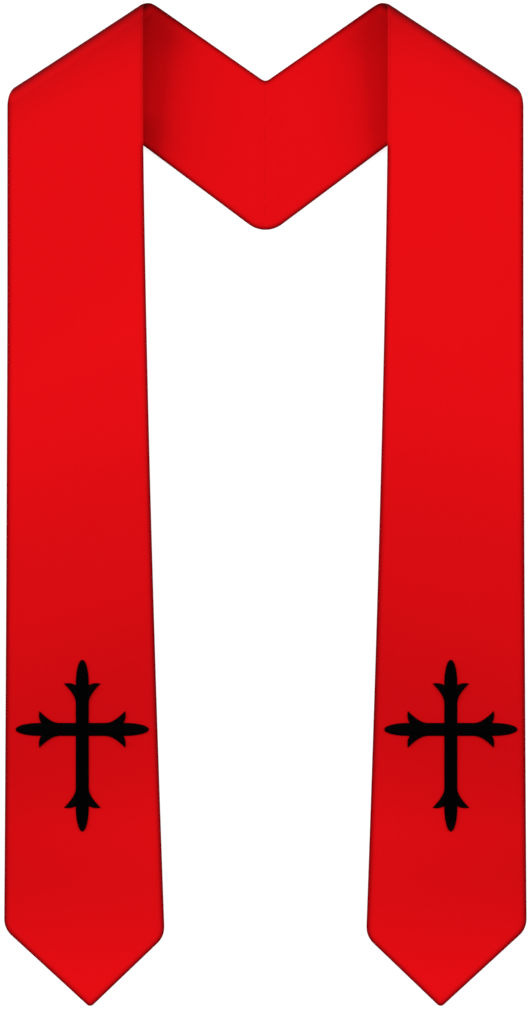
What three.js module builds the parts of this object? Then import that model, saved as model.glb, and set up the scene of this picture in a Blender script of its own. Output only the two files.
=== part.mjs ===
// Choir stole: two mirrored bands of self-lined satin, seamed together at the centre back, laid
// out flat with both fronts folded forward over the shoulders and a black cross on each front.
//
// Millimetres. +Z is up, away from the surface that the stole lies on, +Y runs from the points to
// the neck, and +X is to the right as the stole is seen from above. The origin is under the middle.
//
// One half is worked out for x > 0 and mirrored for the other. A point of its cloth has the
// coordinates (a, s) of the flat cut: a runs along the shoulder fold, s is the distance from the
// crest of that fold, positive on the front and negative on the back.
import * as THREE from "three";

const RAD = Math.PI / 180;

// Cloth
const layer = 1.0; // one layer: satin with its fused interfacing
const gap = 0.3; // between pieces that are sewn or laid together
const thickness = 2 * layer + gap; // the face and the lining

// Front band, seen from above. Heights are measured from the point.
const shoulderHalf = 199.4; // centre line to the outer edge, at the shoulder
const neckHalf = 94.6; // centre line to the inner edge, at the shoulder
const outerFlare = 2.9; // how far the outer edge runs out by the foot
const innerFlare = 16.3; // how far the inner edge runs in by the foot
const flareTop = 700; // where the flare starts
const flareFoot = 64; // where it ends
const flarePower = 1.43; // above 1, the flare gathers pace towards the foot

// Point at the foot of each front
const pointX = 135.7; // centre line to the point
const outerCornerY = 61.2;
const innerCornerY = 55.0;
const cornerRadius = 17;
const pointRadius = 3.5;

// Shoulder fold, a soft open loop
const foldSlope = 33.2 * RAD; // falls outwards
const foldReach = 702.4; // from the point's level to the crest, square to the fold
const loopRadius = 9; // to the middle of the cloth
const descent = 190; // how far the front takes to come down from the loop
const cornerInset = 1.8; // rounds off the outer corner, where the outer edge runs over the crest

// V of the back. Both edges rise outwards from the centre seam.
const neckY = 716.9; // neck edge at the centre line, before its corner is rounded
const neckSlope = 34.95 * RAD;
const neckRadius = 5;
const tailY = 597.1; // lower edge at the centre line, before its corner is rounded
const tailSlope = 36.78 * RAD;
const tailRadius = 21.5;
const bendRadius = 30; // where the lower edge bends to meet the shoulder, under the front

// Low swells in the laid fronts: height of the crest, and how much the crest slants
const swells = [
  { y: 430, reach: 140, height: 2.4, slant: 0.12 },
  { y: 72, reach: 55, height: 1.3, slant: -0.1 },
];

// Cross
const cross = {
  x: 142.7, // centre line to the middle of the front at that height
  shift: 0.9, // both crosses sit this far to the right of that
  y: 215.5,
  up: 53.9,
  down: 79.0,
  side: 51.6,
  barHalf: 5.1,
  lobe: 18.6, // length of the pointed oval at each end
  barbBack: 18.4, // arm's end to the tip of the barb
  barbReach: 14.2, // middle of the arm to the tip of the barb
  rootBack: 33.0, // arm's end to where the barb leaves the bar
  rootControl: 27.5, // arm's end to the point that both of the barb's tangents meet in
  hookBack: 17.2, // the same for the barb's outer edge
  hookReach: 8.9,
  lobeBack: 19.6, // arm's end to the notch between barb and oval
  height: 1.0,
};

// Mesh density
const acrossShares = [0, 0.012, 0.044, 0.2, 0.4365, 0.463, 0.4895, 0.7, 0.956, 0.988, 1];
const backColumns = [0.15, 3, 6, 9.5, 13, 40, 66];
const rowsUnderFront = 5;
const rowsInLoop = 10;
const rowsComingDown = 11;
const rowsLevel = 11;
const rowsToPoint = 4;
const levelY = 560; // the sections have turned level here
const pointStartY = 96; // and start to take the point's shape here
const curvePoints = 5; // on each curve of the cross

const along = new THREE.Vector2(Math.cos(foldSlope), -Math.sin(foldSlope));
const away = new THREE.Vector2(Math.sin(foldSlope), Math.cos(foldSlope));
const loopAxis = foldReach - loopRadius - thickness / 2; // where the loop's axis lies, along away
const wrap = (Math.PI / 2) * loopRadius; // cloth from the crest to either end of the loop

// A corner (x, y) between two straight edges, rounded. The angles are those of the edges as x
// grows, or as the path goes on where an edge is upright.
function roundedCorner(x, y, angleIn, angleOut, radius) {
  const turn = Math.sign(angleOut - angleIn);
  const reach = radius * Math.tan(Math.abs(angleOut - angleIn) / 2);
  const from = { x: x - reach * Math.cos(angleIn), y: y - reach * Math.sin(angleIn) };
  const to = { x: x + reach * Math.cos(angleOut), y: y + reach * Math.sin(angleOut) };
  const centre = {
    x: from.x - turn * radius * Math.sin(angleIn),
    y: from.y + turn * radius * Math.cos(angleIn),
  };
  const heightAt = (at) => {
    const fromCentre = Math.min(radius, Math.abs(at - centre.x));
    return centre.y - turn * Math.sqrt(radius * radius - fromCentre * fromCentre);
  };
  return { from, to, heightAt };
}

const flare = (y) =>
  Math.min(1, Math.max(0, (flareTop - y) / (flareTop - flareFoot))) ** flarePower;
const innerEdge = (y) => neckHalf - innerFlare * flare(y);
const outerEdge = (y) => shoulderHalf + outerFlare * flare(y);

// The point's outline, as a height over x
const innerFoot = innerEdge(0);
const outerFoot = outerEdge(0);
const innerSlope = -Math.atan2(innerCornerY, pointX - innerFoot);
const outerSlope = Math.atan2(outerCornerY, outerFoot - pointX);
const innerCorner = roundedCorner(innerFoot, innerCornerY, -Math.PI / 2, innerSlope, cornerRadius);
const outerCorner = roundedCorner(outerFoot, outerCornerY, outerSlope, Math.PI / 2, cornerRadius);
const point = roundedCorner(pointX, 0, innerSlope, outerSlope, pointRadius);

function footEdge(x) {
  if (x < innerCorner.to.x) return innerCorner.heightAt(x);
  if (x > outerCorner.from.x) return outerCorner.heightAt(x);
  if (x > point.from.x && x < point.to.x) return point.heightAt(x);
  return (x - pointX) * Math.tan(x < pointX ? innerSlope : outerSlope);
}

// The V's two edges, as heights over x. The lower one bends to run on straight into the front.
const neckCorner = roundedCorner(0, neckY, -neckSlope, neckSlope, neckRadius);
const tailCorner = roundedCorner(0, tailY, -tailSlope, tailSlope, tailRadius);
const hiddenSlope = Math.PI / 2 - 2 * foldSlope;

const neckEdge = (x) =>
  x < neckCorner.to.x ? neckCorner.heightAt(x) : neckY + x * Math.tan(neckSlope);

// From a place seen from above to the flat cut, on the front (sign 1) or the back (sign -1)
function toCut(x, y, sign) {
  return {
    a: x * along.x + y * along.y,
    s: sign * (wrap + loopAxis - x * away.x - y * away.y),
  };
}

const fromAxis = (a) => ({
  x: a * along.x + loopAxis * away.x,
  y: a * along.y + loopAxis * away.y,
});

// Where the edges cross the two ends of the loop
const atAxis = (x) => (loopAxis - x * away.x) / away.y;
const frontInner = toCut(neckHalf, atAxis(neckHalf), 1);
const frontOuter = toCut(shoulderHalf, atAxis(shoulderHalf), 1);
const neckMeets =
  (loopAxis - neckY * away.y) / (away.x + Math.tan(neckSlope) * away.y);
const backInner = toCut(neckMeets, neckEdge(neckMeets), -1);
const backOuter = { a: frontOuter.a - 2 * wrap * Math.tan(foldSlope), s: -wrap };
const hiddenEnd = fromAxis(backOuter.a);
const bendX =
  (hiddenEnd.y - hiddenEnd.x * Math.tan(hiddenSlope) - tailY) /
  (Math.tan(tailSlope) - Math.tan(hiddenSlope));
const bend = roundedCorner(
  bendX,
  tailY + bendX * Math.tan(tailSlope),
  tailSlope,
  hiddenSlope,
  bendRadius,
);

function tailEdge(x) {
  if (x < tailCorner.to.x) return tailCorner.heightAt(x);
  if (x < bend.from.x) return tailY + x * Math.tan(tailSlope);
  if (x < bend.to.x) return bend.heightAt(x);
  return hiddenEnd.y + (x - hiddenEnd.x) * Math.tan(hiddenSlope);
}

// Inner edge across the loop: a cubic that leaves the back and joins the front in their directions
function loopInner(s) {
  const t = (s + wrap) / (2 * wrap);
  const leave = (2 * wrap) / Math.tan(neckSlope + foldSlope);
  const join = 2 * wrap * Math.tan(foldSlope);
  return (
    backInner.a * (2 * t ** 3 - 3 * t ** 2 + 1) +
    leave * (t ** 3 - 2 * t ** 2 + t) +
    frontInner.a * (3 * t ** 2 - 2 * t ** 3) +
    join * (t ** 3 - t ** 2)
  );
}

const mix = THREE.MathUtils.lerp;
const clamped = (x) => THREE.MathUtils.clamp(x, 0, 1);
const straight = (from, to) => (share) => ({
  a: mix(from.a, to.a, share),
  s: mix(from.s, to.s, share),
});

// Outer edge across the loop: straight, and drawn in around the crest
function loopOuter(s) {
  const t = (s + wrap) / (2 * wrap);
  const fromCrest = ((Math.PI / 2) * s) / wrap;
  return mix(backOuter.a, frontOuter.a, t) - cornerInset * Math.cos(fromCrest) ** 2;
}

// Sections across one band, from the centre seam to the point. Each is a function that takes a
// share of the way from the inner edge to the outer one and gives the place in the cut.
function sections() {
  const list = [];
  const innerPerOuter = (neckMeets - 4) / bendX; // the back's sections lean a little
  const acrossBack = (innerX, outerX) =>
    straight(toCut(innerX, neckEdge(innerX), -1), toCut(outerX, tailEdge(outerX), -1));
  for (const x of [...backColumns, bendX])
    list.push(acrossBack(Math.max(gap / 2, x * innerPerOuter), x));
  for (let i = 1; i <= rowsUnderFront; i++) {
    const t = i / rowsUnderFront;
    list.push(acrossBack(mix(neckMeets - 4, neckMeets, t), mix(bendX, hiddenEnd.x, t)));
  }
  for (let i = 1; i <= rowsInLoop; i++) {
    const s = mix(-wrap, wrap, i / rowsInLoop);
    list.push(straight({ a: loopInner(s), s }, { a: loopOuter(s), s }));
  }
  for (let i = 1; i <= rowsComingDown; i++) {
    const innerY = mix(atAxis(neckHalf), levelY, i / rowsComingDown);
    const outerY = mix(atAxis(shoulderHalf), levelY, i / rowsComingDown);
    const inner = toCut(innerEdge(innerY), innerY, 1);
    list.push(straight(inner, toCut(outerEdge(outerY), outerY, 1)));
  }
  for (let i = 1; i <= rowsLevel; i++) {
    const y = mix(levelY, pointStartY, i / rowsLevel);
    list.push(straight(toCut(innerEdge(y), y, 1), toCut(outerEdge(y), y, 1)));
  }
  for (let i = 1; i <= rowsToPoint; i++) {
    const t = i / rowsToPoint;
    const innerX = innerEdge(mix(pointStartY, innerCorner.from.y, t));
    const outerX = outerEdge(mix(pointStartY, outerCorner.to.y, t));
    list.push((share) => {
      const x = mix(innerX, outerX, share);
      const footX = mix(innerFoot, outerFoot, share);
      return toCut(x, mix(pointStartY, footEdge(footX), t), 1);
    });
  }
  return list;
}

const ease = (t) => t * t * (3 - 2 * t);

// Height that the swells add to a front
function swell(x, y) {
  return swells.reduce((sum, one) => {
    const fromCrest = Math.abs(y - one.y - one.slant * (x - pointX)) / one.reach;
    return sum + one.height * Math.cos((Math.PI / 2) * Math.min(1, fromCrest)) ** 2;
  }, 0);
}

// The middle of the cloth, laid and folded
function laid({ a, s }) {
  const beyond = Math.abs(s) - wrap;
  const reach = beyond > 0 ? loopAxis - beyond : loopAxis + loopRadius * Math.cos(s / loopRadius);
  const x = a * along.x + reach * away.x;
  const y = a * along.y + reach * away.y;
  let z = thickness / 2;
  if (beyond <= 0) z += loopRadius * (1 + Math.sin(s / loopRadius));
  else if (s > 0) z += 2 * loopRadius * (1 - ease(clamped(beyond / descent))) + swell(x, y);
  return new THREE.Vector3(x, y, z);
}

// The direction that the face of the cloth looks in
function facing({ a, s }) {
  const step = 0.01;
  const alongFold = laid({ a: a + step, s }).sub(laid({ a: a - step, s }));
  const acrossFold = laid({ a, s: s + step }).sub(laid({ a, s: s - step }));
  return acrossFold.cross(alongFold).normalize();
}

// One layer of a band as a closed wall. near and far are its two surfaces, measured from the
// middle of the cloth towards the face. side is 1 for the right band and -1 for the left.
function wall(side, near, far) {
  const cut = sections().map((section) => acrossShares.map(section));
  const rows = cut.length;
  const columns = acrossShares.length;
  const positions = [];
  for (const offset of [near, far])
    for (const place of cut.flat()) {
      const p = laid(place).addScaledVector(facing(place), offset);
      positions.push(side * p.x, p.y, p.z);
    }
  const index = (row, column, top) => (top * rows + row) * columns + column;
  const triangles = [];
  const quad = (p, q, r, t) => triangles.push([p, q, r], [p, r, t]);
  const ringAt = (row, column, nextRow, nextColumn) =>
    quad(
      index(row, column, 0),
      index(nextRow, nextColumn, 0),
      index(nextRow, nextColumn, 1),
      index(row, column, 1),
    );
  for (let r = 0; r + 1 < rows; r++) {
    for (let c = 0; c + 1 < columns; c++) {
      const corner = (top) => [
        index(r, c, top),
        index(r + 1, c, top),
        index(r + 1, c + 1, top),
        index(r, c + 1, top),
      ];
      quad(...corner(1));
      quad(...corner(0).reverse());
    }
    ringAt(r, 0, r + 1, 0);
    ringAt(r + 1, columns - 1, r, columns - 1);
  }
  for (let c = 0; c + 1 < columns; c++) {
    ringAt(0, c + 1, 0, c);
    ringAt(rows - 1, c, rows - 1, c + 1);
  }
  // Mirroring turns the faces inside out, so the left band's triangles are turned back.
  const outwards = side > 0 ? triangles : triangles.map(([p, q, r]) => [p, r, q]);
  const geometry = new THREE.BufferGeometry();
  geometry.setAttribute("position", new THREE.Float32BufferAttribute(positions, 3));
  geometry.setIndex(outwards.flat());
  geometry.computeVertexNormals();
  return geometry;
}

// Outline of one arm of the cross, pointing along +X from the middle of the cross
function armOutline(length) {
  const c = cross;
  const curve = (...points) =>
    new THREE.QuadraticBezierCurve(...points.map(([back, w]) => new THREE.Vector2(length - back, w)));
  const inner = curve([c.rootBack, -c.barHalf], [c.rootControl, -c.barHalf], [c.barbBack, -c.barbReach]);
  const outer = curve([c.barbBack, -c.barbReach], [c.hookBack, -c.hookReach], [c.lobeBack, -c.barHalf]);
  const oval = new THREE.EllipseCurve(length - c.lobe, 0, c.lobe, c.barHalf, -Math.PI / 2, 0);
  const half = [inner, outer, oval].flatMap((one) => one.getPoints(curvePoints).slice(0, -1));
  const tip = new THREE.Vector2(length, 0);
  const otherHalf = half.map((p) => new THREE.Vector2(p.x, -p.y)).reverse();
  return [...half, tip, ...otherHalf, new THREE.Vector2(c.barHalf, c.barHalf)];
}

function crossGeometry() {
  const arms = [cross.side, cross.up, cross.side, cross.down];
  const outline = arms.flatMap((length, quarter) =>
    armOutline(length).map((p) => p.rotateAround(new THREE.Vector2(), (quarter * Math.PI) / 2)),
  );
  return new THREE.ExtrudeGeometry(new THREE.Shape(outline), {
    depth: cross.height,
    bevelEnabled: false,
  });
}

const satin = new THREE.MeshStandardMaterial({ color: 0xe50c13, roughness: 0.55, metalness: 0 });
const liningSatin = new THREE.MeshStandardMaterial({ color: 0xdf0c13, roughness: 0.6, metalness: 0 });
const thread = new THREE.MeshStandardMaterial({ color: 0x060607, roughness: 0.7, metalness: 0 });

function addPiece(group, name, geometry, material) {
  const mesh = new THREE.Mesh(geometry, material);
  mesh.name = name;
  group.add(mesh);
  return mesh;
}

const stole = new THREE.Group();
for (const { side, hand } of [
  { side: -1, hand: "left" },
  { side: 1, hand: "right" },
]) {
  addPiece(stole, `band_face_${hand}`, wall(side, gap / 2, gap / 2 + layer), satin);
  addPiece(stole, `band_lining_${hand}`, wall(side, -gap / 2 - layer, -gap / 2), liningSatin);
  const emblem = addPiece(stole, `cross_${hand}`, crossGeometry(), thread);
  emblem.position.set(side * cross.x + cross.shift, cross.y, thickness + gap);
}

const extent = new THREE.Box3().setFromObject(stole);
stole.position.y = -(extent.min.y + extent.max.y) / 2;

export default stole;
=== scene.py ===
# %% [markdown]
# # A choir stole
#
# A choir stole is a long band of satin worn round the neck over a robe. It is cut as two mirrored
# halves, each with a face and a lining, which meet in one seam at the centre back. Here it lies
# flat on a table with both fronts folded forward over the shoulders, so that the V at the back of
# the neck shows its lining, and each front carries a black embroidered cross.
#
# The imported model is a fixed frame: plain walls of the right size in the right place. This lesson
# lays finer cloth on the same form, with turned edges, pressed seams and a woven surface.

import bpy
import numpy as np
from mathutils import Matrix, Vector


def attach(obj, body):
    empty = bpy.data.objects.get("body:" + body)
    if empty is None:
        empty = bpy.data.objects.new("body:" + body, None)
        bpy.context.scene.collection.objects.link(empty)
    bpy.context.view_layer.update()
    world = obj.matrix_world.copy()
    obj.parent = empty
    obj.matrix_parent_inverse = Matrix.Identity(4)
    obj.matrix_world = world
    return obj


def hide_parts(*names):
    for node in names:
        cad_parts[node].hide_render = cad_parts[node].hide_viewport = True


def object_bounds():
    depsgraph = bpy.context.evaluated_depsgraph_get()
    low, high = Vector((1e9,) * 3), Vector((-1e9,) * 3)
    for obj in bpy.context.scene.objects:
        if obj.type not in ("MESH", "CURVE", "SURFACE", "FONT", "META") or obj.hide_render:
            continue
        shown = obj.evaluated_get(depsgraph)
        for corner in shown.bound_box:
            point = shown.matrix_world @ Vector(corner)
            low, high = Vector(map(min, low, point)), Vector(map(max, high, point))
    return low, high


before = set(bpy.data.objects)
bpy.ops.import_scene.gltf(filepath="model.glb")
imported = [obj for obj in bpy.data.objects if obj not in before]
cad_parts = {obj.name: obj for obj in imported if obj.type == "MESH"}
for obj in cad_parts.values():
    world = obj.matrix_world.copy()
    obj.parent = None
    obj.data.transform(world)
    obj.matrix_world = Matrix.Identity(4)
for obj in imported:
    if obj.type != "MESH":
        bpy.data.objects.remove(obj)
cad_low, cad_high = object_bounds()
print("nodes:", sorted(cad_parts))

# %% [markdown]
# ## The sizes of the stole
#
# Everything is worked out in millimetres and turned to metres when a mesh is made. Heights on the
# front are measured from the level of its point. The sizes are those of the frame's own walls, so
# the fine cloth falls on them.

# %% Sizes, in millimetres
MM = 0.001
RAD = np.pi / 180

THICKNESS = 2.3  # face and lining together
SHOULDER_HALF = 199.4  # centre line to the outer edge, at the shoulder
NECK_HALF = 94.6  # centre line to the inner edge, at the shoulder
OUTER_FLARE = 2.9  # how far the outer edge runs out by the foot
INNER_FLARE = 16.3  # how far the inner edge runs in by the foot
FLARE_TOP, FLARE_FOOT, FLARE_POWER = 700, 64, 1.43

POINT_X = 135.7
OUTER_CORNER_Y = 61.2
INNER_CORNER_Y = 55.0
CORNER_RADIUS = 17
POINT_RADIUS = 3.5

FOLD_SLOPE = 33.2 * RAD  # the shoulder fold falls outwards
FOLD_REACH = 702.4  # from the point's level to the crest of the fold, square to it
LOOP_RADIUS = 9  # the fold is a soft open loop
DESCENT = 190  # how far the front takes to come down from it
CORNER_INSET = 1.8  # rounds off the outer corner, where the outer edge runs over the crest
NECK_INSET, NECK_TURN = 2.0, 8  # the same at the neck, and how tightly it keeps to the crest
# The neck's inset is finer form: it stays within 2 mm of the frame's walls, which leave it out.

NECK_Y, NECK_SLOPE, NECK_RADIUS = 716.9, 34.95 * RAD, 5  # upper edge of the V
TAIL_Y, TAIL_SLOPE, TAIL_RADIUS = 597.1, 36.78 * RAD, 21.5  # lower edge of the V
BEND_RADIUS = 30  # where the lower edge bends, under the front

SWELLS = [  # low swells in the laid fronts: height of the crest, and how much it slants
    dict(y=430, reach=140, height=2.4, slant=0.12),
    dict(y=72, reach=55, height=1.3, slant=-0.1),
]

ALONG = np.array([np.cos(FOLD_SLOPE), -np.sin(FOLD_SLOPE)])
AWAY = np.array([np.sin(FOLD_SLOPE), np.cos(FOLD_SLOPE)])
LOOP_AXIS = FOLD_REACH - LOOP_RADIUS - THICKNESS / 2
WRAP = np.pi / 2 * LOOP_RADIUS  # cloth from the crest of the fold to either end of the loop
print(f"cloth round each shoulder fold: {2 * WRAP:.1f} mm")

# %% [markdown]
# ## The outline
#
# A tailor's outline is straight lines with rounded corners. Each corner is a circle that touches
# both of its lines, and each edge is a height worked out for a whole row of x values at once.


# %% Edges of the band
def rounded_corner(x, y, angle_in, angle_out, radius):
    """The circle that touches two lines meeting at (x, y): the x where it leaves the first line,
    the x where it joins the second, and its height over any x between."""
    turn = np.sign(angle_out - angle_in)
    reach = radius * np.tan(abs(angle_out - angle_in) / 2)
    start = np.array([x - reach * np.cos(angle_in), y - reach * np.sin(angle_in)])
    end = np.array([x + reach * np.cos(angle_out), y + reach * np.sin(angle_out)])
    centre = start + turn * radius * np.array([-np.sin(angle_in), np.cos(angle_in)])

    def height(at):
        off = np.clip(np.abs(at - centre[0]), 0, radius)
        return centre[1] - turn * np.sqrt(radius**2 - off**2)

    return start, end, height


def flare(y):
    """0 at the top of the front and 1 at its foot, gathering pace on the way down."""
    return np.clip((FLARE_TOP - y) / (FLARE_TOP - FLARE_FOOT), 0, 1) ** FLARE_POWER


def inner_edge(y):
    return NECK_HALF - INNER_FLARE * flare(y)


def outer_edge(y):
    return SHOULDER_HALF + OUTER_FLARE * flare(y)


INNER_FOOT, OUTER_FOOT = inner_edge(0.0), outer_edge(0.0)
inner_slope = -np.arctan2(INNER_CORNER_Y, POINT_X - INNER_FOOT)
outer_slope = np.arctan2(OUTER_CORNER_Y, OUTER_FOOT - POINT_X)
inner_start, inner_end, inner_round = rounded_corner(
    INNER_FOOT, INNER_CORNER_Y, -np.pi / 2, inner_slope, CORNER_RADIUS
)
outer_start, outer_end, outer_round = rounded_corner(
    OUTER_FOOT, OUTER_CORNER_Y, outer_slope, np.pi / 2, CORNER_RADIUS
)
point_start, point_end, point_round = rounded_corner(
    POINT_X, 0, inner_slope, outer_slope, POINT_RADIUS
)


def foot_edge(x):
    """Height of the pointed foot over x: two straight edges and three rounded corners."""
    straight = (x - POINT_X) * np.tan(np.where(x < POINT_X, inner_slope, outer_slope))
    edge = np.where((x > point_start[0]) & (x < point_end[0]), point_round(x), straight)
    edge = np.where(x < inner_end[0], inner_round(x), edge)
    return np.where(x > outer_start[0], outer_round(x), edge)


_, neck_end, neck_round = rounded_corner(0, NECK_Y, -NECK_SLOPE, NECK_SLOPE, NECK_RADIUS)
_, tail_end, tail_round = rounded_corner(0, TAIL_Y, -TAIL_SLOPE, TAIL_SLOPE, TAIL_RADIUS)


def neck_edge(x):
    return np.where(x < neck_end[0], neck_round(x), NECK_Y + x * np.tan(NECK_SLOPE))


def at_axis(x):
    """Height of the loop's axis over x."""
    return (LOOP_AXIS - x * AWAY[0]) / AWAY[1]


def to_cut(x, y, sign):
    """Flat cut of a place seen from above: a along the fold, s across it, on the front or back."""
    a = x * ALONG[0] + y * ALONG[1]
    s = sign * (WRAP + LOOP_AXIS - x * AWAY[0] - y * AWAY[1])
    return np.stack(np.broadcast_arrays(a, s), axis=-1)


front_inner = to_cut(NECK_HALF, at_axis(NECK_HALF), 1)
front_outer = to_cut(SHOULDER_HALF, at_axis(SHOULDER_HALF), 1)
neck_meets = (LOOP_AXIS - NECK_Y * AWAY[1]) / (AWAY[0] + np.tan(NECK_SLOPE) * AWAY[1])
back_inner = to_cut(neck_meets, neck_edge(neck_meets), -1)
back_outer = np.array([front_outer[0] - 2 * WRAP * np.tan(FOLD_SLOPE), -WRAP])
hidden_end = back_outer[0] * ALONG + LOOP_AXIS * AWAY
hidden_slope = np.pi / 2 - 2 * FOLD_SLOPE
bend_x = (hidden_end[1] - hidden_end[0] * np.tan(hidden_slope) - TAIL_Y) / (
    np.tan(TAIL_SLOPE) - np.tan(hidden_slope)
)
bend_start, bend_end, bend_round = rounded_corner(
    bend_x, TAIL_Y + bend_x * np.tan(TAIL_SLOPE), TAIL_SLOPE, hidden_slope, BEND_RADIUS
)


def tail_edge(x):
    """Lower edge of the V, running on under the front to the outer end of the fold."""
    edge = np.where(x < tail_end[0], tail_round(x), TAIL_Y + x * np.tan(TAIL_SLOPE))
    edge = np.where(x > bend_start[0], bend_round(x), edge)
    hidden = hidden_end[1] + (x - hidden_end[0]) * np.tan(hidden_slope)
    return np.where(x > bend_end[0], hidden, edge)


def loop_inner(s):
    """Inner edge across the loop: a cubic that leaves the back and joins the front smoothly, drawn
    in by a high power of a cosine right at the crest."""
    t = (s + WRAP) / (2 * WRAP)
    leave = 2 * WRAP / np.tan(NECK_SLOPE + FOLD_SLOPE)
    join = 2 * WRAP * np.tan(FOLD_SLOPE)
    return (
        back_inner[0] * (2 * t**3 - 3 * t**2 + 1)
        + leave * (t**3 - 2 * t**2 + t)
        + front_inner[0] * (3 * t**2 - 2 * t**3)
        + join * (t**3 - t**2)
        + NECK_INSET * np.cos(np.pi / 2 * s / WRAP) ** NECK_TURN
    )


def loop_outer(s):
    """Outer edge across the loop: straight, and drawn in by a squared cosine round the crest."""
    straight = back_outer[0] + (front_outer[0] - back_outer[0]) * (s + WRAP) / (2 * WRAP)
    return straight - CORNER_INSET * np.cos(np.pi / 2 * s / WRAP) ** 2


print(f"foot of each front: {OUTER_FOOT - INNER_FOOT:.1f} mm wide")

# %% [markdown]
# ## The flat cut as a grid
#
# One half is a grid with a row for each section across the band, from the centre seam to the
# point, and a column for each share of the way from the inner edge to the outer one. Rows and
# columns crowd together along the edges, where the cloth rolls over in a millimetre.

# %% Rows and columns of the cut
EDGE_STEPS = np.array([0, 0.12, 0.4, 0.8, 1.3, 2.0, 3.0, 4.4])  # distances in from an edge
USUAL_WIDTH = 115  # of the band, to turn those distances into shares of a section
COLUMNS_WITHIN = 62  # columns between the two edges' steps
BACK_ROWS, HIDDEN_ROWS, LOOP_ROWS = 52, 32, 32
FALLING_ROWS, LEVEL_ROWS, FOOT_ROWS = 88, 205, 34
LEAN = 4  # the back's last section leans: its inner end stays this far short of the fold
LEVEL_Y, POINT_START_Y = 560, 96  # sections are level here, and start to take the point's shape
FOOT_SHARE, FOOT_LENGTH = 0.93, 70  # where the foot's even rows end, and its usual length

edge_shares = EDGE_STEPS / USUAL_WIDTH
within = np.linspace(edge_shares[-1], 1 - edge_shares[-1], COLUMNS_WITHIN)
shares = np.concatenate([edge_shares[:-1], within, 1 - edge_shares[-2::-1]])


def between(inner, outer):
    """Straight sections: every share of the way from each inner point to its outer point."""
    return inner[:, None] + (outer - inner)[:, None] * shares[None, :, None]


def across_back(inner_x, outer_x):
    """Sections of the back, from the neck edge to the lower edge."""
    return between(
        to_cut(inner_x, neck_edge(inner_x), -1), to_cut(outer_x, tail_edge(outer_x), -1)
    )


def across_front(inner_y, outer_y):
    """Sections of a front, from its inner edge to its outer edge."""
    return between(
        to_cut(inner_edge(inner_y), inner_y, 1), to_cut(outer_edge(outer_y), outer_y, 1)
    )


def steps(start, stop, count):
    """Even steps from start to stop, leaving out start itself."""
    return np.linspace(start, stop, count + 1)[1:]


outer_x = np.concatenate([EDGE_STEPS[:-1], np.linspace(EDGE_STEPS[-1], bend_x, BACK_ROWS)])
back_rows = across_back(outer_x * (neck_meets - LEAN) / bend_x, outer_x)

hidden_rows = across_back(
    steps(neck_meets - LEAN, neck_meets, HIDDEN_ROWS), steps(bend_x, hidden_end[0], HIDDEN_ROWS)
)

s = steps(-WRAP, WRAP, LOOP_ROWS)
loop_rows = between(np.stack([loop_inner(s), s], -1), np.stack([loop_outer(s), s], -1))

falling_rows = across_front(
    steps(at_axis(NECK_HALF), LEVEL_Y, FALLING_ROWS),
    steps(at_axis(SHOULDER_HALF), LEVEL_Y, FALLING_ROWS),
)

y = steps(LEVEL_Y, POINT_START_Y, LEVEL_ROWS)
level_rows = across_front(y, y)

to_foot = steps(0, FOOT_SHARE, FOOT_ROWS)
to_foot = np.concatenate([to_foot, 1 - EDGE_STEPS[-2::-1] / FOOT_LENGTH])[:, None]
inner_x = inner_edge(POINT_START_Y + (inner_start[1] - POINT_START_Y) * to_foot)
outer_x = outer_edge(POINT_START_Y + (outer_end[1] - POINT_START_Y) * to_foot)
foot_y = foot_edge(INNER_FOOT + (OUTER_FOOT - INNER_FOOT) * shares)
foot_rows = to_cut(
    inner_x + (outer_x - inner_x) * shares,
    POINT_START_Y + (foot_y - POINT_START_Y) * to_foot,
    1,
)

cut = np.concatenate([back_rows, hidden_rows, loop_rows, falling_rows, level_rows, foot_rows])
rows, columns = cut.shape[:2]
print(f"grid of each half: {rows} x {columns}")

# The same cut turned so that the front runs straight down, as it lies on the bolt
grain = np.stack([cut @ [ALONG[0], -AWAY[0]], cut @ [-ALONG[1], AWAY[1]]], axis=-1)

# %% [markdown]
# ## Laying the cloth
#
# The cloth is bent only across the shoulder fold: flat behind it, half a turn round the loop, and
# then down in a long slope to the table. Past that it follows the low swells that a stole keeps
# when it is smoothed out by hand. Because nothing stretches, the flat cut and the laid cloth have
# the same area.


# %% Folding
def ease(t):
    """0 to 1 with level ends: three t squared less two t cubed."""
    t = np.clip(t, 0, 1)
    return t * t * (3 - 2 * t)


def swell(x, y):
    """Sum of the swells: each a squared cosine of the distance from its crest."""
    total = 0
    for one in SWELLS:
        off = np.abs(y - one["y"] - one["slant"] * (x - POINT_X)) / one["reach"]
        total = total + one["height"] * np.cos(np.pi / 2 * np.minimum(1, off)) ** 2
    return total


def laid(a, s):
    """The middle of the cloth: plan by distance from the loop's axis, height by the fold."""
    beyond = np.abs(s) - WRAP
    in_loop = beyond <= 0
    reach = np.where(in_loop, LOOP_AXIS + LOOP_RADIUS * np.cos(s / LOOP_RADIUS), LOOP_AXIS - beyond)
    x = a * ALONG[0] + reach * AWAY[0]
    y = a * ALONG[1] + reach * AWAY[1]
    front = 2 * LOOP_RADIUS * (1 - ease(beyond / DESCENT)) + swell(x, y)
    rise = np.where(in_loop, LOOP_RADIUS * (1 + np.sin(s / LOOP_RADIUS)), np.where(s > 0, front, 0))
    return np.stack([x, y, THICKNESS / 2 + rise], axis=-1)


def facing(a, s, step=0.01):
    """Unit vector out of the face: the slope across the fold crossed with the slope along it."""
    along = laid(a + step, s) - laid(a - step, s)
    across = laid(a, s + step) - laid(a, s - step)
    normal = np.cross(across, along)
    return normal / np.linalg.norm(normal, axis=-1, keepdims=True)


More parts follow.
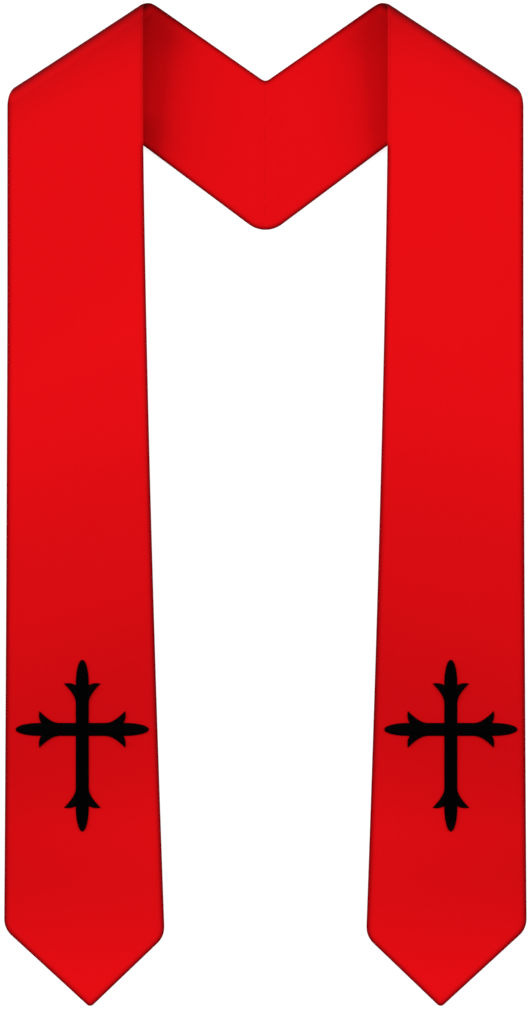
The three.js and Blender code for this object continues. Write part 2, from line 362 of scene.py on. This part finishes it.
middle = laid(cut[..., 0], cut[..., 1])
normals = facing(cut[..., 0], cut[..., 1])
shift_y = cad_low[1] / MM - middle[..., 1].min()  # the frame's origin is under the middle
middle[..., 1] += shift_y
print(f"shoulder fold stands {middle[..., 2].max() + THICKNESS / 2:.1f} mm high")

# %% [markdown]
# ## Turned edges
#
# The face and the lining are sewn right sides together, turned out and pressed. So the two layers
# roll into each other at the very edge, and the seam allowances trapped inside make a faint step
# about a centimetre in. Machine stitching draws satin up a little, which leaves shallow puckers
# that die out within a few millimetres. The distance of each grid point from the outline drives
# all three. The centre seam is pressed open and lies almost flat.

# %% Distances from the edges
outline = np.concatenate([grain[:, 0], grain[-1, 1:-1], grain[::-1, -1]])


def distance_to_line(points, line):
    """Distance of each point from a polyline: to its nearest corner, then to both sides of it."""
    flat = points.reshape(-1, 2)
    nearest = np.concatenate(
        [
            np.argmin(((some[:, None] - line[None]) ** 2).sum(-1), axis=1)
            for some in np.array_split(flat, 40)
        ]
    )
    best = np.full(len(flat), np.inf)
    for first in (-1, 0):
        k = np.clip(nearest + first, 0, len(line) - 2)
        start, side = line[k], line[k + 1] - line[k]
        t = ((flat - start) * side).sum(-1) / np.maximum((side**2).sum(-1), 1e-12)
        best = np.minimum(
            best, np.linalg.norm(flat - start - np.clip(t, 0, 1)[:, None] * side, axis=-1)
        )
    return best.reshape(points.shape[:-1])


from_edge = distance_to_line(grain, outline)
from_seam = distance_to_line(grain, grain[0])
print(f"widest half-width: {from_edge.max():.1f} mm")

# %% Height of the cloth's skin over its middle
ROLL = 1.9  # how far the edge takes to roll over
RIM = 0.06  # what is left of the height at the seam line
SKIN = 1.0  # height of the skin away from the edges
CLOTH = 0.45  # the satin itself
GROOVE_WIDTH, GROOVE_DEPTH = 1.2, 0.08  # the dip at the centre seam
ALLOWANCE_WIDTH, ALLOWANCE_EASE = 10, 7  # the trapped cloth, and how softly its step shows
ALLOWANCE_RISE = 0.1
PUCKER, PUCKER_REACH = 0.06, 6  # height of the puckers, and how far in they die out
PUCKER_LONG, PUCKER_WIDE = 11.3, 8.7  # from one to the next, along the grain and across it
WANDER, WANDER_LONG, WANDER_WIDE = 1.3, 7.5, 5  # keeps them from running in straight rows
UNEVEN, UNEVEN_LONG = 0.4, 13  # and from being all alike


def quarter_round(t):
    """Rises from 0 to 1 like a quarter of a circle."""
    return np.sqrt(1 - (1 - np.clip(t, 0, 1)) ** 2)


def skin_height(phase):
    """Skin over the middle of the cloth: the allowance's step, the puckers and the rolled edge."""
    near = np.minimum(from_edge, from_seam)
    u, v = grain[..., 0], grain[..., 1]
    step = ALLOWANCE_RISE * (1 - ease(0.5 + (near - ALLOWANCE_WIDTH) / ALLOWANCE_EASE))
    wander = WANDER * np.sin(v / WANDER_LONG) + np.sin(u / WANDER_WIDE)
    wave = np.sin(2 * np.pi * (v / PUCKER_LONG + u / PUCKER_WIDE) + wander + phase)
    wave = wave * (1 - UNEVEN + UNEVEN * np.sin(v / UNEVEN_LONG + phase))
    pucker = PUCKER * wave * np.exp(-((near / PUCKER_REACH) ** 2))
    height = RIM + (SKIN + step + pucker - RIM) * quarter_round(from_edge / ROLL)
    return height - GROOVE_DEPTH * (1 - quarter_round(from_seam / GROOVE_WIDTH))


# %% [markdown]
# ## Painted shade
#
# Satin shines because its long floats lie flat. Where the cloth rolls over, at a turned edge or
# along the crest of a fold, it turns away from the light: the gloss fades, and the shade that
# falls there is painted into the red. So are broad soft bands of shade down the fronts, where the
# light is weaker, a painted shadow on the back beside each front, and a painted dark smudge by the
# neck end of each fold. Left to the gloss alone, this shade would be lost in even light. So each
# grid point is given a share of its full brightness: the satin's colour darkens with it as painted
# shade, and its roughness follows it too.

# %% Share of full brightness, painted shade
EDGE_DEPTH, EDGE_REACH = 0.77, 2.25  # painted shade lost at a turned edge, and how far in that reaches
EDGE_GAIN, EDGE_TOP, EDGE_FALL = 0.08, 560, 200  # the reach grows towards the foot
NECK_GAIN, NECK_NEAR = 0.3, 35  # wider, deeper painted edge shade round the neck ends of the folds
OVER_DEPTH, OVER_REACH = 0.2, 2.2  # a front's inner edge takes less painted shade where it lies over the back
SEAM_SHARE, SEAM_REACH = 0.99, 2.5  # at the centre seam
FOLD_SHARE, FOLD_POWER = 0.3, 2.5  # painted shade on the crest of the shoulder fold, and how fast it clears
CREST_DEPTH, CREST_REACH = 0.6, 2.3  # more painted shade on top of that along the crest itself
FOLD_TRAIL = {-1: 0.205, 1: 0.12}  # painted shade past the left fold and past the right one
FOLD_FADE = 20  # how fast that fades
NECK_TRAIL, NECK_FADE = 0.25, 26  # the same round the fold's inner end
# Painted shade: broad bands down the fronts, where the light falls off.
SHADE_BANDS = [  # height on the front, how far it reaches up and down, its depth, and its slant
    dict(y=223, up=220, down=177, depth=0.26, slant=-0.27),
    dict(y=395, up=227, down=100, depth=0.086, slant=-0.385),
    dict(y=92, up=54, down=78, depth=0.12, slant=-0.04),
]
FRONT_SHADOW = {-1: (0.12, 0.41), 1: (0.045, 0.1)}  # painted shadow beside a front: at the upper edge, and below
FRONT_SHADOW_FADE, FRONT_SHADOW_Y, FRONT_SHADOW_FALL = 15, 700, 25
APEX_SHADE = {-1: 0.15, 1: 0.115}  # painted shade: a dark smudge on the back beside the neck end of each fold
APEX_SHADE_X, APEX_SHADE_Y, APEX_SHADE_REACH = 73, 755, 17
NOTCH_Y = TAIL_Y + NECK_HALF * np.tan(TAIL_SLOPE)  # where the back comes out from under the front
NOTCH_EASE = 6  # how softly the inner edge turns paler there


def shade_band_depth(x, y):
    """Sum of the painted shade bands: each a squared cosine, with its own reach above and below
    its crest.
    """
    total = 0
    for one in SHADE_BANDS:
        off = y - one["y"] - one["slant"] * (x - POINT_X)
        off = off / np.where(off > 0, one["up"], one["down"])
        total = total + one["depth"] * np.cos(np.pi / 2 * np.clip(off, -1, 1)) ** 2
    return total


def brightness(side):
    """Share of full brightness, as painted shade: the product of the shares of the seam, the fold's
    trail, the bands, and whichever is less of the edge's share and the crest's. An edge takes off a
    bell curve of the distance from it."""
    a, s = cut[..., 0], cut[..., 1]
    x, y = middle[..., 0], middle[..., 1] - shift_y
    from_neck = np.hypot(x - NECK_HALF, y - at_axis(NECK_HALF))
    neck = NECK_GAIN * np.exp(-((from_neck / NECK_NEAR) ** 2))
    reach = EDGE_REACH * (1 + EDGE_GAIN * ease((EDGE_TOP - y) / EDGE_FALL) + neck)
    edge = 1 - EDGE_DEPTH * (1 + neck / 2) * np.exp(-((from_edge / reach) ** 2))
    over = 1 - OVER_DEPTH * np.exp(-((from_edge / OVER_REACH) ** 2))
    lies_over = ease(0.5 + (y - NOTCH_Y) / NOTCH_EASE) * (s > 0) * (shares < 0.5)
    edge = edge + (over - edge) * lies_over
    seam = SEAM_SHARE + (1 - SEAM_SHARE) * ease(from_seam / SEAM_REACH)
    turned = np.clip(np.abs(s) / LOOP_RADIUS, 0, np.pi / 2)  # 0 on the crest
    crest = FOLD_SHARE + (1 - FOLD_SHARE) * np.sin(turned) ** FOLD_POWER
    from_crest = LOOP_RADIUS * (1 - np.cos(turned))
    crest = crest * (1 - CREST_DEPTH * np.exp(-((from_crest / CREST_REACH) ** 2)))
    trail = FOLD_TRAIL[side] * np.exp(-np.maximum(0, np.abs(s) - WRAP) / FOLD_FADE)
    past_neck = np.hypot(a - front_inner[0], np.maximum(0, s))
    trail = trail + np.where(s > 0, NECK_TRAIL * np.exp(-past_neck / NECK_FADE), 0)
    # The back beside each front gets painted shadow, deepest at the front's edge.
    high, low = FRONT_SHADOW[side]
    under = high + (low - high) * ease((FRONT_SHADOW_Y - y) / FRONT_SHADOW_FALL)
    under = under * np.exp(-np.maximum(0, NECK_HALF - x) / FRONT_SHADOW_FADE)
    # Painted shade: a dark smudge on the back by the neck end of each fold.
    from_apex_shade = np.hypot(x - APEX_SHADE_X, y - APEX_SHADE_Y)
    under = under + APEX_SHADE[side] * np.exp(-((from_apex_shade / APEX_SHADE_REACH) ** 2))
    bands = np.where(s > WRAP, shade_band_depth(x, y), np.where(s < -WRAP, under, 0))
    return np.minimum(edge, crest) * seam * (1 - trail) * (1 - bands)


painted_brightness = {side: brightness(side) for side in (-1, 1)}
print(f"share of full brightness: {painted_brightness[1].min():.2f} to {painted_brightness[1].max():.2f}")

# %% [markdown]
# ## Meshes
#
# Each layer is a closed shell: its outer skin, an inner skin one cloth thickness behind, and a
# rim that joins them. The shell of the left half is the right one mirrored, with its faces turned
# round so that they still point outwards.


# %% Making a mesh
def new_piece(name, points, faces, uv=None, attributes=None):
    """A smooth mesh object at the origin, from points in millimetres and lists of indices."""
    mesh = bpy.data.meshes.new(name)
    mesh.from_pydata((points * MM).tolist(), [], faces)
    mesh.polygons.foreach_set("use_smooth", np.ones(len(faces), dtype=bool))
    if uv is not None:
        layer = mesh.uv_layers.new(name="cut")
        layer.data.foreach_set("uv", (uv[np.ravel(faces)] * MM).astype(np.float32).ravel())
    for label, values in (attributes or {}).items():
        attribute = mesh.attributes.new(label, "FLOAT", "POINT")
        attribute.data.foreach_set("value", values.astype(np.float32).ravel())
    mesh.update()
    piece = bpy.data.objects.new(name, mesh)
    bpy.context.scene.collection.objects.link(piece)
    print(name, len(faces), "faces")
    return piece


def grid_quads(first, n, m):
    """Indices of the quads of an n by m grid of points that starts at index first."""
    at = first + np.arange(n * m).reshape(n, m)
    return np.stack([at[:-1, :-1], at[1:, :-1], at[1:, 1:], at[:-1, 1:]], axis=-1).reshape(-1, 4)


def shell_quads(n, m):
    """Two n by m grids, inner then outer, joined round the rim into one closed shell."""
    at = np.arange(n * m).reshape(n, m)
    ring = np.concatenate([at[:-1, 0], at[-1, :-1], at[:0:-1, -1], at[0, :0:-1]])
    after = np.roll(ring, -1)
    rim = np.stack([ring, after, after + n * m, ring + n * m], axis=-1)
    return np.concatenate([grid_quads(n * m, n, m), grid_quads(0, n, m)[:, ::-1], rim])


def band_layer(name, side, layer, phase):
    """One layer of one half. side is 1 for the right half, layer is 1 for the face."""
    outer = skin_height(phase)
    inner = np.maximum(outer - CLOTH, RIM / 3)  # the two skins never meet, even at the rim
    skins = [middle + normals * (layer * height)[..., None] for height in (inner, outer)]
    points = np.concatenate([skin.reshape(-1, 3) for skin in skins])
    points[:, 0] *= side
    quads = shell_quads(rows, columns)
    if side * layer < 0:
        quads = quads[:, ::-1]
    flat = np.tile(grain.reshape(-1, 2), (2, 1))
    share = np.tile(painted_brightness[side].ravel(), 2)
    return new_piece(name, points, quads.tolist(), uv=flat, attributes={"painted_brightness": share})


band_left = band_layer("satin_band_left", -1, 1, 0.0)
band_right = band_layer("satin_band_right", 1, 1, 2.1)
lining_left = band_layer("satin_lining_left", -1, -1, 0.8)
lining_right = band_layer("satin_lining_right", 1, -1, 3.3)

# %% [markdown]
# ## The crosses
#
# Each cross is padded satin stitch. The thread runs to and fro across a bar, side by side, over a
# low pad, and each barb has its own stitches that run lengthwise. A stitch is a thin closed tube.
# All the stitches of a column are worked out as one array: their two ends give the path, and the
# path arches over the pad.

# %% Sizes of the cross
CROSS_X = 142.7  # centre line to the middle of the front at that height
CROSS_SHIFT = 0.9  # both crosses sit this far to the right of that
CROSS_Y = 215.5
UP, DOWN, SIDE = 53.9, 79.0, 51.6
BAR_HALF = 5.1
LOBE = 18.6  # length of the pointed oval at each end
BARB_BACK, BARB_REACH = 18.4, 14.2
ROOT_BACK, ROOT_CONTROL = 33.0, 27.5
HOOK_BACK, HOOK_REACH = 17.2, 8.9
LOBE_BACK = 19.6

THREAD = 0.42  # width of a stitch
STITCH_RISE = 1.25  # crest of a wide stitch over the cloth
OVERLAP = 0.5  # columns of stitches overlap by this much
CLOTH_TOP = THICKNESS / 2 + SKIN - 0.05  # the thread sinks into the satin a little
QUARTER_TURN = np.array([[0, 1], [-1, 0]])


def bar_half(t, length):
    """Half-width of an arm at t from the cross's middle: level, then an ellipse at its end."""
    return BAR_HALF * np.sqrt(np.clip(1 - (np.maximum(0, t - length + LOBE) / LOBE) ** 2, 0, 1))


def barb_ends(w):
    """Where a barb starts and ends, back from the arm's end, at w out from the arm's middle. Both
    edges are quadratic Bezier curves, solved for their parameter at w."""
    t = np.sqrt(np.clip((w - BAR_HALF) / (BARB_REACH - BAR_HALF), 0, 1))
    root = (1 - t) ** 2 * ROOT_BACK + 2 * t * (1 - t) * ROOT_CONTROL + t**2 * BARB_BACK
    curve = BARB_REACH - 2 * HOOK_REACH + BAR_HALF
    slope = BARB_REACH - HOOK_REACH
    t = (slope - np.sqrt(slope**2 - curve * (BARB_REACH - np.maximum(w, BAR_HALF)))) / curve
    hook = (1 - t) ** 2 * BARB_BACK + 2 * t * (1 - t) * HOOK_BACK + t**2 * LOBE_BACK
    return root, hook


def stitch_columns():
    """Ends of the stitches of every column, as pairs of (n, 2) arrays round the cross's middle."""
    pairs = []
    t = np.arange(-DOWN + THREAD / 2, UP, THREAD)
    half = np.where(t < 0, bar_half(-t, DOWN), bar_half(t, UP))
    pairs.append((np.stack([-half, t], -1), np.stack([half, t], -1)))
    for quarter, length in enumerate([SIDE, UP, SIDE, DOWN]):
        turn = np.linalg.matrix_power(QUARTER_TURN, quarter)
        if quarter % 2 == 0:
            t = np.arange(BAR_HALF - OVERLAP, length - THREAD / 2, THREAD)
            half = bar_half(t, length)
            pairs.append((np.stack([t, -half], -1) @ turn, np.stack([t, half], -1) @ turn))
        w = np.arange(BAR_HALF - OVERLAP, BARB_REACH - THREAD / 2, THREAD)
        root, hook = barb_ends(w)
        for mirror in (-1, 1):
            start = np.stack([length - root, mirror * w], -1) @ turn
            pairs.append((start, np.stack([length - hook, mirror * w], -1) @ turn))
    return pairs


# %% Stitches and their pad
ALONG_STITCH = 11  # points along a stitch
ROUND_STITCH = 5  # and round it
STITCH_HALF_WIDTH = 0.56 * THREAD  # a little over half, so that neighbours close up
STITCH_HALF_HEIGHT = 0.17
LIFT_SPREAD, PLACE_SPREAD = 0.03, 0.02  # how unevenly the stitches lie
FULL_STITCH = 6  # shorter stitches rise less
LEAST_RISE = 0.15  # the square of the least share of the rise
PAD_BELOW = 0.15  # how far the pad's top lies under the stitches
PAD_SINK = 0.1  # and how far its underside sinks into the cloth


def arch(start, end, lift):
    """Paths over the pad. The height is the square root of one less the fourth power of the
    distance from the stitch's middle, so it is steep at the sides and level on top."""
    t = (1 - np.cos(np.linspace(0, np.pi, ALONG_STITCH))) / 2
    plan = start[:, None] + (end - start)[:, None] * t[None, :, None]
    long = np.linalg.norm(end - start, axis=-1)
    crest = lift * np.sqrt(np.clip(long / FULL_STITCH, LEAST_RISE, 1))
    height = crest[:, None] * np.sqrt(np.clip(1 - np.abs(2 * t - 1) ** 4, 0, 1))[None]
    return np.concatenate([plan, CLOTH_TOP + height[..., None]], axis=-1)


def stitch_tubes(start, end, random):
    """Closed tubes along the arches: an ellipse of points round each path point, and two caps."""
    lift = STITCH_RISE + random.uniform(-LIFT_SPREAD, LIFT_SPREAD, len(start))
    path = arch(start, end, lift)
    path[..., :2] += random.uniform(-PLACE_SPREAD, PLACE_SPREAD, (len(start), 1, 2))
    run = end - start
    beside = np.stack([-run[:, 1], run[:, 0]], -1) / np.linalg.norm(run, axis=-1, keepdims=True)
    angle = np.arange(ROUND_STITCH) * 2 * np.pi / ROUND_STITCH
    ring = np.zeros((len(start), 1, ROUND_STITCH, 3))
    ring[:, 0, :, :2] = beside[:, None] * (STITCH_HALF_WIDTH * np.cos(angle))[None, :, None]
    ring[:, 0, :, 2] = STITCH_HALF_HEIGHT * np.sin(angle)
    points = (path[:, :, None] + ring).reshape(len(start), -1, 3)
    at = np.arange(ALONG_STITCH * ROUND_STITCH).reshape(ALONG_STITCH, ROUND_STITCH)
    side = np.roll(at, -1, axis=1)
    body = np.stack([at[:-1], side[:-1], side[1:], at[1:]], axis=-1).reshape(-1, 4)
    return points, body, (at[0, ::-1], at[-1])


def pad_shell(start, end):
    """The pad under a column: a grid through arches a little lower than the stitches, closed
    underneath by the same grid laid on the cloth."""
    top = arch(start, end, STITCH_RISE - PAD_BELOW)
    bottom = top.copy()
    bottom[..., 2] = CLOTH_TOP - PAD_SINK
    points = np.concatenate([bottom.reshape(-1, 3), top.reshape(-1, 3)])
    quads = shell_quads(len(start), ALONG_STITCH)
    mid = ALONG_STITCH // 2
    to_next, across = top[1, mid] - top[0, mid], top[0, mid + 1] - top[0, mid - 1]
    return points, quads if np.cross(to_next, across)[2] > 0 else quads[:, ::-1]


def embroidered_cross(name, middle_x, seed):
    """Every column's stitches and pad as one mesh."""
    random = np.random.default_rng(seed)
    points, faces, count = [], [], 0
    for start, end in stitch_columns():
        pad_points, pad_quads = pad_shell(start, end)
        points.append(pad_points)
        faces.extend((pad_quads + count).tolist())
        count += len(pad_points)
        tubes, body, caps = stitch_tubes(start, end, random)
        per_tube = tubes.shape[1]
        first = count + np.arange(len(tubes)) * per_tube
        faces.extend((body[None] + first[:, None, None]).reshape(-1, 4).tolist())
        for cap in caps:
            faces.extend((cap[None] + first[:, None]).tolist())
        points.append(tubes.reshape(-1, 3))
        count += len(tubes) * per_tube
    return new_piece(name, np.concatenate(points) + [middle_x, CROSS_Y + shift_y, 0], faces)


cross_left = embroidered_cross("embroidered_cross_left", -CROSS_X + CROSS_SHIFT, 11)
cross_right = embroidered_cross("embroidered_cross_right", CROSS_X + CROSS_SHIFT, 12)

# %% [markdown]
# ## Materials
#
# Satin is woven with long floats that all lie one way. They act like a brushed surface: colour
# stays deep and the highlight is soft and drawn out across the floats.


# %% Helpers for materials
def linear(hex_code):
    """Linear RGBA from an sRGB hex code."""
    values = np.array([int(hex_code[i : i + 2], 16) / 255 for i in (1, 3, 5)])
    low, high = values / 12.92, ((values + 0.055) / 1.055) ** 2.4
    return (*np.where(values <= 0.04045, low, high).tolist(), 1.0)


def add(tree, kind, inputs=None, **settings):
    """Adds a node, sets its properties, and fills or links its inputs."""
    node = tree.nodes.new(kind)
    for key, value in settings.items():
        setattr(node, key, value)
    for key, value in (inputs or {}).items():
        if isinstance(value, bpy.types.NodeSocket):
            tree.links.new(value, node.inputs[key])
        else:
            node.inputs[key].default_value = value
    return node


def mixed(tree, share, first, second):
    """Colour that goes from first to second as share goes from 0 to 1."""
    inputs = {0: share, 6: first, 7: second}
    return add(tree, "ShaderNodeMix", inputs, data_type="RGBA").outputs[2]


def new_material(name):
    """An empty Principled material: itself, its node tree and its shader."""
    material = bpy.data.materials.new(name)
    material.use_nodes = True
    tree = material.node_tree
    tree.nodes.clear()
    shader = add(tree, "ShaderNodeBsdfPrincipled")
    add(tree, "ShaderNodeOutputMaterial", {"Surface": shader.outputs[0]})
    return material, tree, shader


# %% Red polyester satin
THREAD_PITCH = 0.6 * MM  # real satin has 0.1 to 0.2 mm; drawn coarser so that it shows
FLOAT_LENGTH = 5 * THREAD_PITCH  # a float passes over four threads and dips under the fifth
FLOAT_SHIFT = 0.4  # each thread's floats start two fifths further on than its neighbour's
SLUB_SCALE = (900, 45, 1)  # uneven thread: slubs a millimetre wide, drawn out along the band
SLUB_RELIEF, SLUB_TINT, SLUB_ROUGH = 0.9, 0.16, 0.1
WEAVE_STRENGTH, WEAVE_HEIGHT = 0.35, 0.04 * MM
GLOSS = 0.55  # roughness that full brightness takes off, and none under full painted shade
FULL_SHADE_RED = "#200205"  # the red of full painted shade, where the cloth turns away from the light


def satin(name, colour, deep):
    """Woven polyester satin: deep red, soft gloss, fine floats along the band, with painted shade
    darkening its red where the brightness share is low.
    """
    material, tree, shader = new_material(name)

    def maths(operation, first, second=0.0, third=0.0):
        inputs = {0: first, 1: second, 2: third}
        return add(tree, "ShaderNodeMath", inputs, operation=operation).outputs[0]

    place = add(tree, "ShaderNodeUVMap", uv_map="cut").outputs[0]
    axes = add(tree, "ShaderNodeSeparateXYZ", {0: place})
    thread = maths("DIVIDE", axes.outputs[0], THREAD_PITCH)
    crown = maths("SINE", maths("MULTIPLY", maths("FRACT", thread), np.pi))
    along = maths("DIVIDE", axes.outputs[1], FLOAT_LENGTH)
    float_at = maths("MULTIPLY_ADD", maths("FLOOR", thread), FLOAT_SHIFT, along)
    off = maths("ABSOLUTE", maths("SUBTRACT", maths("FRACT", float_at), 0.5))
    dip = maths("SUBTRACT", 1.0, maths("POWER", maths("MULTIPLY", off, 2.0), 6.0))
    weave = maths("MULTIPLY", crown, dip)

    stretched = add(tree, "ShaderNodeMapping", {0: place, "Scale": SLUB_SCALE}).outputs[0]
    slubs = add(tree, "ShaderNodeTexNoise", {0: stretched, "Scale": 1.0, "Detail": 3.0}).outputs[0]
    relief = maths("ADD", weave, maths("MULTIPLY", slubs, SLUB_RELIEF))
    bump = add(
        tree,
        "ShaderNodeBump",
        {"Strength": WEAVE_STRENGTH, "Distance": WEAVE_HEIGHT, "Height": relief},
    )
    tangent = add(tree, "ShaderNodeTangent", direction_type="UV_MAP", uv_map="cut")

    share = add(tree, "ShaderNodeAttribute", attribute_name="painted_brightness").outputs["Fac"]
    tint = mixed(tree, maths("MULTIPLY", slubs, SLUB_TINT), linear(colour), linear(deep))
    matt = maths("MULTIPLY_ADD", slubs, SLUB_ROUGH, 1.0)
    # Base colour: painted shade darkens the red towards the turned-away red as the brightness share
    # falls.
    for key, value in {
        "Base Color": mixed(tree, share, linear(FULL_SHADE_RED), tint),
        "Roughness": maths("SUBTRACT", matt, maths("MULTIPLY", share, GLOSS)),
        "Normal": bump.outputs[0],
        "Tangent": tangent.outputs[0],
    }.items():
        tree.links.new(value, shader.inputs[key])
    shader.inputs["IOR"].default_value = 1.35
    shader.inputs["Specular IOR Level"].default_value = 0.1
    shader.inputs["Specular Tint"].default_value = linear("#ff4a44")
    shader.inputs["Anisotropic"].default_value = 0.5
    return material


red_satin = satin("red_polyester_satin", "#e60d13", "#d60a10")
# The lining is the same satin, a little darker: painted shade for the weaker light on the back.
lining_satin = satin("red_satin_lining", "#de0c12", "#ce090f")


# %% [markdown]
# Embroidery thread is twisted rayon or polyester. Dyed black it still has a little gloss along the
# crest of each stitch, and none between them.


# %% Black embroidery thread
TWIST_SCALE = 5000.0  # the thread's fibres, about a fifth of a millimetre apart
TWIST_STRENGTH, TWIST_HEIGHT = 0.3, 0.03 * MM


def embroidery_thread(name):
    """Twisted black thread with hardly any gloss."""
    material, tree, shader = new_material(name)
    place = add(tree, "ShaderNodeTexCoord").outputs["Object"]
    twist = add(tree, "ShaderNodeTexNoise", {0: place, "Scale": TWIST_SCALE, "Detail": 2.0})
    bump = add(
        tree,
        "ShaderNodeBump",
        {"Strength": TWIST_STRENGTH, "Distance": TWIST_HEIGHT, "Height": twist.outputs[0]},
    )
    tone = mixed(tree, twist.outputs[0], linear("#000000"), linear("#010101"))
    tree.links.new(tone, shader.inputs["Base Color"])
    tree.links.new(bump.outputs[0], shader.inputs["Normal"])
    shader.inputs["Roughness"].default_value = 0.6
    shader.inputs["Specular IOR Level"].default_value = 0.02
    return material


black_thread = embroidery_thread("black_rayon_thread")

# %% [markdown]
# ## What stands for what
#
# Nothing on the stole moves by itself, so every piece rides on the one body. Each layer of cloth
# and each cross takes the place of the plain solid of the same name.

# %% Ride and replace
for piece, node, slot, material in [
    (band_left, "band_face_left", "satin", red_satin),
    (band_right, "band_face_right", "satin", red_satin),
    (lining_left, "band_lining_left", "lining_satin", lining_satin),
    (lining_right, "band_lining_right", "lining_satin", lining_satin),
    (cross_left, "cross_left", "embroidery", black_thread),
    (cross_right, "cross_right", "embroidery", black_thread),
]:
    piece.data.materials.append(material)
    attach(piece, "root")
    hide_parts(node)

# %% [markdown]
# ## Floor, light and camera
#
# The stole lies on white paper over a light table, which keeps the paper's shadows pale. Two soft
# lights stand low to the left and right, a little nearer the neck, as on a copy stand. Being low,
# they draw the raised fronts against the V, and their gloss stays out of the lens.

# %% Floor
FLOOR_HALF, FLOOR_Z = 12000, -0.25  # in millimetres
TABLE_GLOW = 0.8  # light that comes up through the paper

corners = np.array([(-1, -1, 0), (1, -1, 0), (1, 1, 0), (-1, 1, 0)]) * FLOOR_HALF
floor = new_piece("floor", corners + [0, 0, FLOOR_Z], [(0, 1, 2, 3)])
paper, paper_tree, paper_shader = new_material("white_paper")
paper_noise = add(paper_tree, "ShaderNodeTexNoise", {"Scale": 400.0, "Detail": 3.0})
paper_tone = mixed(paper_tree, paper_noise.outputs[0], linear("#a9a9a9"), linear("#a6a6a6"))
paper_tree.links.new(paper_tone, paper_shader.inputs["Base Color"])
paper_shader.inputs["Roughness"].default_value = 0.9
paper_shader.inputs["Specular IOR Level"].default_value = 0.0
paper_shader.inputs["Emission Color"].default_value = linear("#ffffff")
paper_shader.inputs["Emission Strength"].default_value = TABLE_GLOW
floor.data.materials.append(paper)

# %% Light
SOFTBOX = 2.2  # side of each softbox, in metres
SKY = 0.55  # even light from all round


def soft_light(name, place, power):
    """A square softbox aimed at the middle of the stole. Place in metres, power in watts."""
    lamp = bpy.data.lights.new(name, "AREA")
    lamp.size = SOFTBOX
    lamp.energy = power
    light = bpy.data.objects.new(name, lamp)
    light.location = place
    light.rotation_mode = "QUATERNION"
    light.rotation_quaternion = (-light.location).to_track_quat("-Z", "Y")
    light.visible_camera = False
    bpy.context.scene.collection.objects.link(light)


soft_light("softbox_left", (-3.2, 1.35, 1.5), 112)
soft_light("softbox_right", (3.2, 1.35, 1.85), 77)

world = bpy.data.worlds.new("studio")
world.use_nodes = True
world.node_tree.nodes["Background"].inputs["Color"].default_value = (1, 1, 1, 1)
world.node_tree.nodes["Background"].inputs["Strength"].default_value = SKY
bpy.context.scene.world = world
bpy.context.scene.view_settings.view_transform = "Standard"

# %% Camera
VIEW_HEIGHT = 781.3 * MM  # what the long side of the picture takes in
AIM_X, AIM_Y = -0.3 * MM, -0.5 * MM
FOCUS_Z = 3 * MM  # the height that VIEW_HEIGHT is measured at
LENS = 350

lens = bpy.data.cameras.new("camera")
lens.lens = LENS
lens.clip_end = 50
camera = bpy.data.objects.new("camera", lens)
camera.location = (AIM_X, AIM_Y, FOCUS_Z + VIEW_HEIGHT * LENS / lens.sensor_width)
bpy.context.scene.collection.objects.link(camera)
bpy.context.scene.camera = camera
